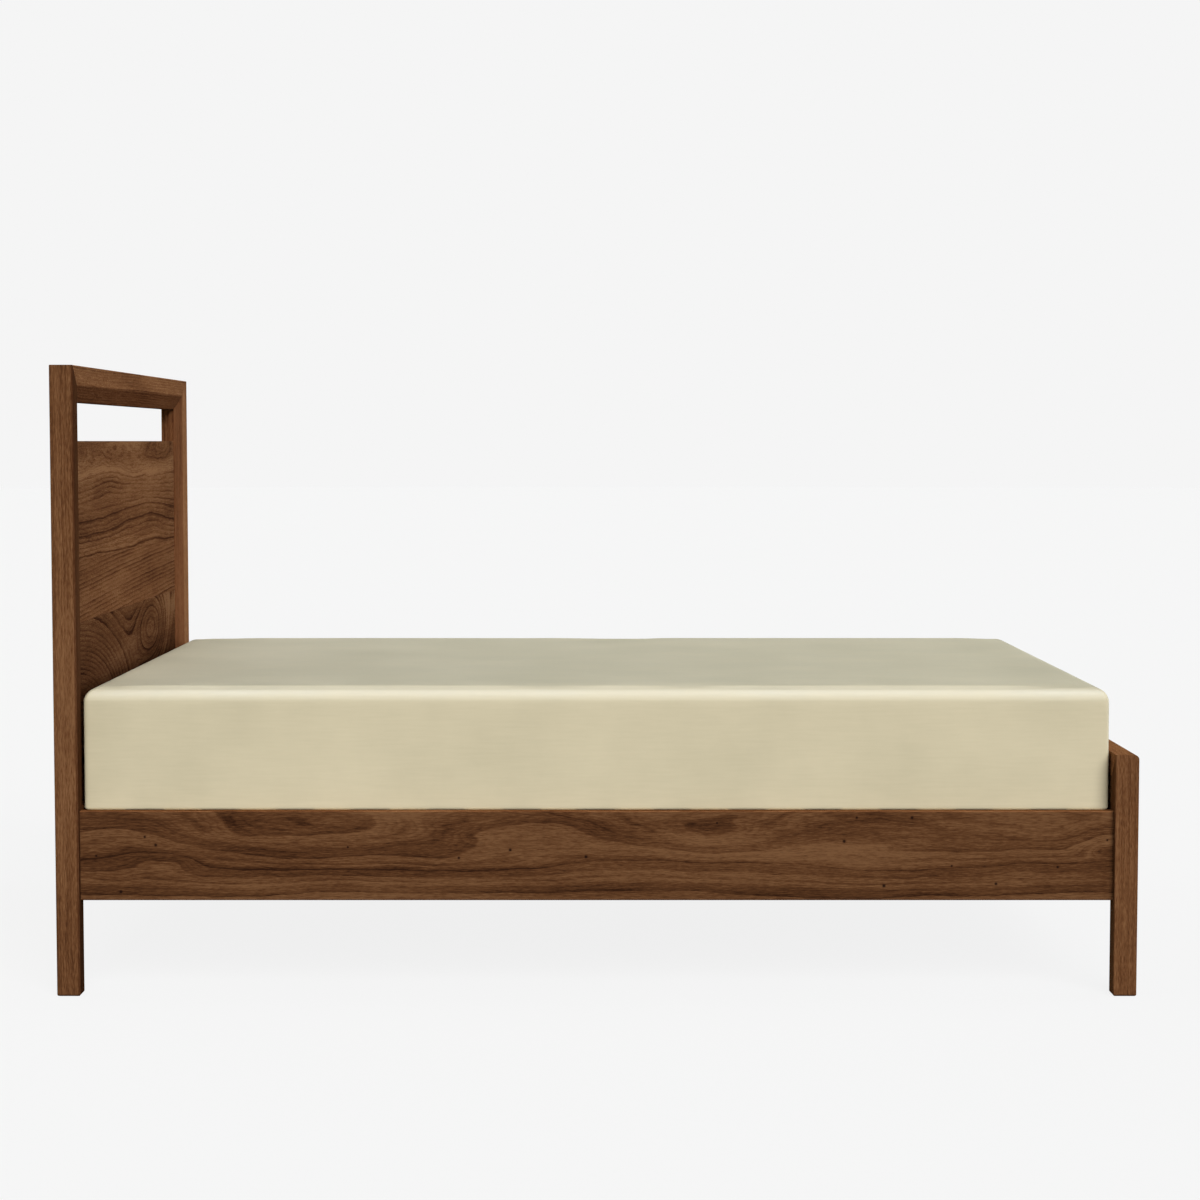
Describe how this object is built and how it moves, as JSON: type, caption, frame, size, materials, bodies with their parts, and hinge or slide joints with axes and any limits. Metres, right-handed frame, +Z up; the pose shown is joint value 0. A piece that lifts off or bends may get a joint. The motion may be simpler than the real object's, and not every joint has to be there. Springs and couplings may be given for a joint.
{
  "type": "platform bed",
  "caption": "Walnut platform bed with square straight posts, a slotted framed headboard, low footboard, flat side rails, slatted base and plain mattress.",
  "frame": {"origin": "on the floor, under the middle of the bed's bounding box", "axes": "+X along the bed towards the foot, +Y across the bed towards its right-hand rail as seen from the foot, +Z up; the headboard is at -X"},
  "size_m": [1.996, 1.468, 1.163],
  "materials": {
    "post_walnut": "satin",
    "panel_walnut": "satin",
    "rail_walnut": "satin",
    "tenon_wood": "matte",
    "base_wood": "matte",
    "hardware_steel": "satin",
    "webbing": "matte",
    "mattress_foam": "matte",
    "mattress_fabric": "matte"
  },
  "bodies": {
    "frame": {"headboard_post_left": "post_walnut", "headboard_post_right": "post_walnut", "headboard_top_rail": "post_walnut", "headboard_board_1": "panel_walnut", "headboard_board_2": "panel_walnut", "headboard_board_3": "panel_walnut", "headboard_board_4": "panel_walnut", "headboard_bottom_rail": "panel_walnut", "headboard_mitre_tenons": "tenon_wood", "footboard_leg_left": "post_walnut", "footboard_leg_right": "post_walnut", "footboard_top_rail": "post_walnut", "footboard_board_upper": "panel_walnut", "footboard_board_lower": "panel_walnut", "footboard_mitre_tenons": "tenon_wood", "side_rail_left": "rail_walnut", "side_rail_right": "rail_walnut", "rail_hook_plates": "hardware_steel", "post_catch_plates": "hardware_steel", "rail_plate_screws": "hardware_steel", "ledger_left": "base_wood", "ledger_right": "base_wood", "ledger_screws": "hardware_steel", "centre_beam": "base_wood", "beam_hanger_head": "hardware_steel", "beam_hanger_foot": "hardware_steel", "hanger_screws": "hardware_steel"},
    "slat_base": {"slat_01": "base_wood", "slat_02": "base_wood", "slat_03": "base_wood", "slat_04": "base_wood", "slat_05": "base_wood", "slat_06": "base_wood", "slat_07": "base_wood", "slat_08": "base_wood", "slat_09": "base_wood", "slat_10": "base_wood", "slat_11": "base_wood", "slat_12": "base_wood", "slat_13": "base_wood", "slat_14": "base_wood", "slat_strap_left": "webbing", "slat_strap_right": "webbing", "strap_staples": "hardware_steel"},
    "mattress": {"mattress_base_foam": "mattress_foam", "mattress_comfort_foam": "mattress_foam", "mattress_cover": "mattress_fabric"}
  },
  "joints": [
    {"name": "slats_lift", "type": "slide", "parent": "frame", "child": "slat_base", "axis": [0, 0, 1], "range_m": [0, 0.25]},
    {"name": "mattress_lift", "type": "slide", "parent": "slat_base", "child": "mattress", "axis": [0, 0, 1], "range_m": [0, 0.35]}
  ]
}
